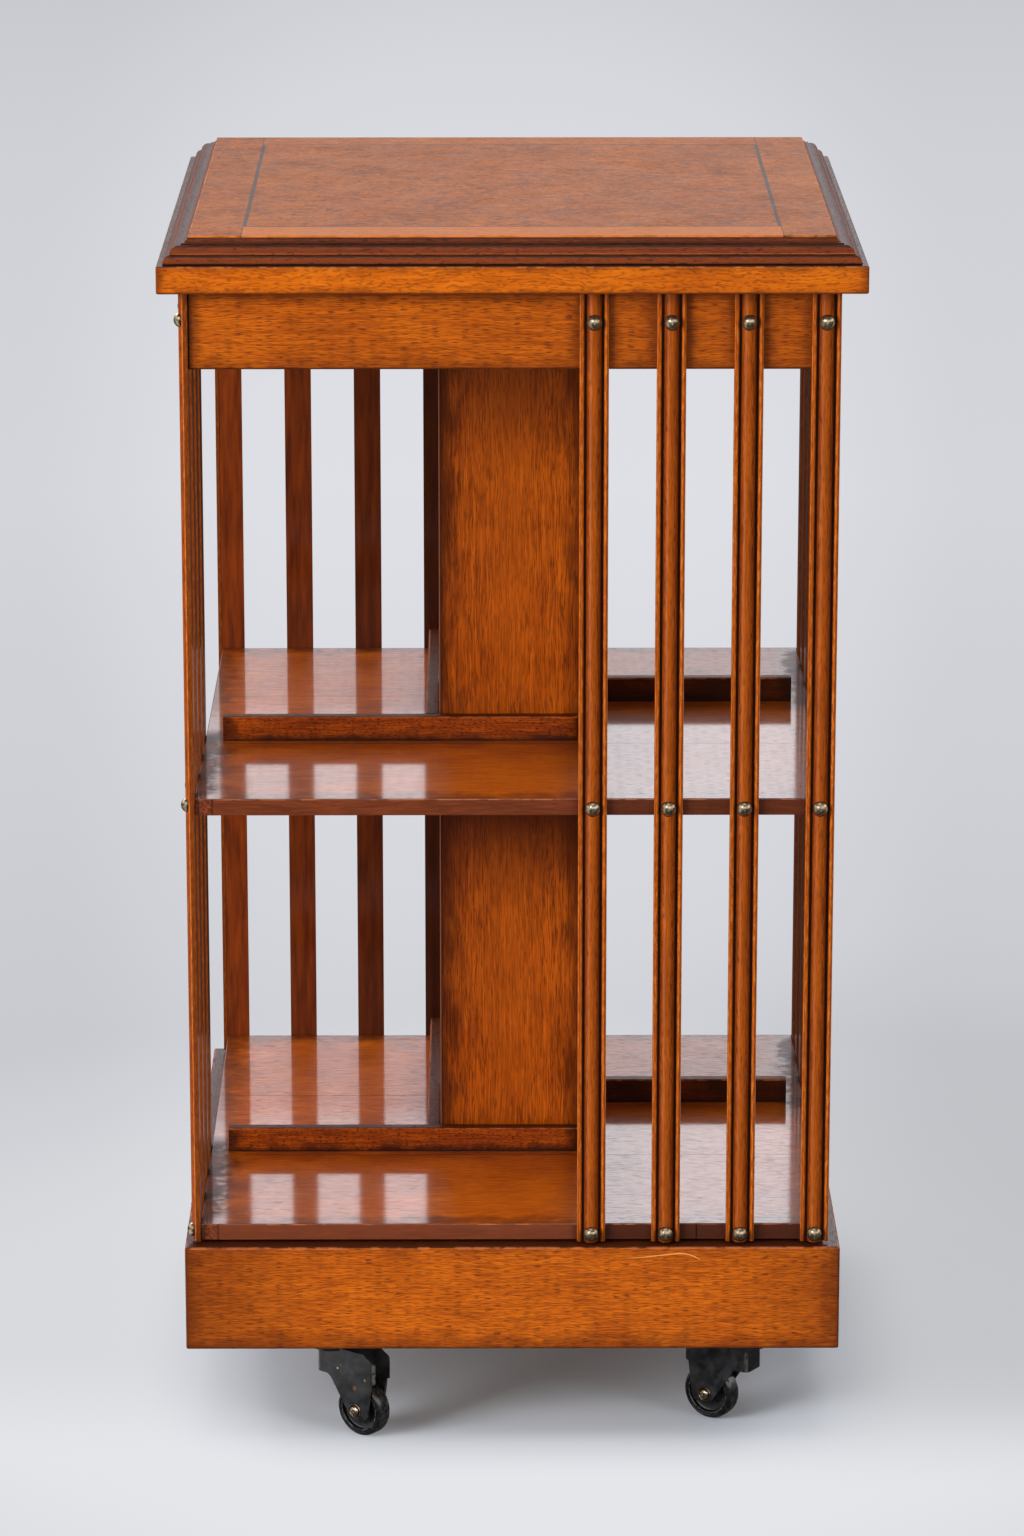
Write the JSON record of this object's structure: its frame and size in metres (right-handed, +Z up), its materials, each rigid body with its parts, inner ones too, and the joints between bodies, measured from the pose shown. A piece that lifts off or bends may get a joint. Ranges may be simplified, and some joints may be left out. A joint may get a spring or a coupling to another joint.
{
  "type": "revolving bookcase",
  "caption": "Two-tier square wooden bookcase whose slatted case turns on a spindle above a low box base carried on swivel castors.",
  "frame": {"origin": "on the floor, under the middle of the case, on the axis that the case turns about", "axes": "+Z up along the turning axis; the front face looks towards -Y and +X is its right"},
  "size_m": [0.48, 0.48, 0.8665],
  "materials": {
    "case_wood": "polished honey-brown wood with dark pores",
    "shelf_wood": "glossy polished shelf boards",
    "stop_wood": "polished mid-brown wood",
    "slat_wood": "polished moulded wood, dark in the quirks",
    "dark_wood": "dark polished wood with rubbed edges",
    "panel_veneer": "polished figured veneer",
    "banding_veneer": "polished crossbanded veneer",
    "ebony_line": "dark inlaid line",
    "inner_wood": "unpolished secondary wood",
    "aged_brass": "darkened antique brass",
    "bush_brass": "turned brass",
    "bare_steel": "bare oiled steel",
    "black_steel": "black japanned steel, rubbed at the edges",
    "axle_steel": "bright riveted steel",
    "castor_tyre": "black moulded wheel"
  },
  "bodies": {
    "base": {"base_deck": "inner_wood", "base_screws": "bare_steel", "castor_bearers": "inner_wood", "castor_plates": "black_steel", "corner_blocks": "inner_wood", "plinth_back": "case_wood", "plinth_front": "case_wood", "plinth_left": "case_wood", "plinth_right": "case_wood", "spindle": "bare_steel", "spindle_flange": "bare_steel", "thrust_washer": "bush_brass"},
    "case": {"book_stops_lower": "stop_wood", "book_stops_upper": "stop_wood", "frieze_back": "case_wood", "frieze_front": "case_wood", "frieze_left": "case_wood", "frieze_right": "case_wood", "lower_bush": "bush_brass", "lower_column": "case_wood", "lower_shelf": "shelf_wood", "middle_shelf": "shelf_wood", "pivot_plate": "bare_steel", "pivot_screws": "bare_steel", "shelf_lipping": "dark_wood", "slat_back_1": "slat_wood", "slat_back_2": "slat_wood", "slat_back_3": "slat_wood", "slat_back_4": "slat_wood", "slat_front_1": "slat_wood", "slat_front_2": "slat_wood", "slat_front_3": "slat_wood", "slat_front_4": "slat_wood", "slat_left_1": "slat_wood", "slat_left_2": "slat_wood", "slat_left_3": "slat_wood", "slat_left_4": "slat_wood", "slat_right_1": "slat_wood", "slat_right_2": "slat_wood", "slat_right_3": "slat_wood", "slat_right_4": "slat_wood", "slat_screws": "aged_brass", "top_board": "case_wood", "top_crossbanding": "banding_veneer", "top_moulding": "dark_wood", "top_panel": "panel_veneer", "top_stringing": "ebony_line", "upper_column": "case_wood"},
    "swivel_front_left": {"castor_fork_front_left": "black_steel", "castor_axle_front_left": "axle_steel"},
    "wheel_front_left": {"castor_wheel_front_left": "castor_tyre"},
    "swivel_front_right": {"castor_fork_front_right": "black_steel", "castor_axle_front_right": "axle_steel"},
    "wheel_front_right": {"castor_wheel_front_right": "castor_tyre"},
    "swivel_rear_right": {"castor_fork_rear_right": "black_steel", "castor_axle_rear_right": "axle_steel"},
    "wheel_rear_right": {"castor_wheel_rear_right": "castor_tyre"},
    "swivel_rear_left": {"castor_fork_rear_left": "black_steel", "castor_axle_rear_left": "axle_steel"},
    "wheel_rear_left": {"castor_wheel_rear_left": "castor_tyre"}
  },
  "joints": [
    {"name": "case_turn", "type": "hinge", "parent": "base", "child": "case", "pos_m": [0, 0, 0.15], "axis": [0, 0, 1], "continuous": true},
    {"name": "swivel_front_left", "type": "hinge", "parent": "base", "child": "swivel_front_left", "pos_m": [-0.128, -0.192, 0.064], "axis": [0, 0, 1], "continuous": true},
    {"name": "roll_front_left", "type": "hinge", "parent": "swivel_front_left", "child": "wheel_front_left", "pos_m": [-0.10594, -0.20924, 0.02], "axis": [0.6157, 0.788, 0], "continuous": true},
    {"name": "swivel_front_right", "type": "hinge", "parent": "base", "child": "swivel_front_right", "pos_m": [0.167, -0.192, 0.064], "axis": [0, 0, 1], "continuous": true},
    {"name": "roll_front_right", "type": "hinge", "parent": "swivel_front_right", "child": "wheel_front_right", "pos_m": [0.14379, -0.17634, 0.02], "axis": [-0.5592, -0.829, 0], "continuous": true},
    {"name": "swivel_rear_right", "type": "hinge", "parent": "base", "child": "swivel_rear_right", "pos_m": [0.128, 0.192, 0.064], "axis": [0, 0, 1], "continuous": true},
    {"name": "roll_rear_right", "type": "hinge", "parent": "swivel_rear_right", "child": "wheel_rear_right", "pos_m": [0.10328, 0.20514, 0.02], "axis": [-0.4695, -0.8829, 0], "continuous": true},
    {"name": "swivel_rear_left", "type": "hinge", "parent": "base", "child": "swivel_rear_left", "pos_m": [-0.167, 0.192, 0.064], "axis": [0, 0, 1], "continuous": true},
    {"name": "roll_rear_left", "type": "hinge", "parent": "swivel_rear_left", "child": "wheel_rear_left", "pos_m": [-0.13995, 0.19925, 0.02], "axis": [-0.2588, 0.9659, 0], "continuous": true}
  ]
}
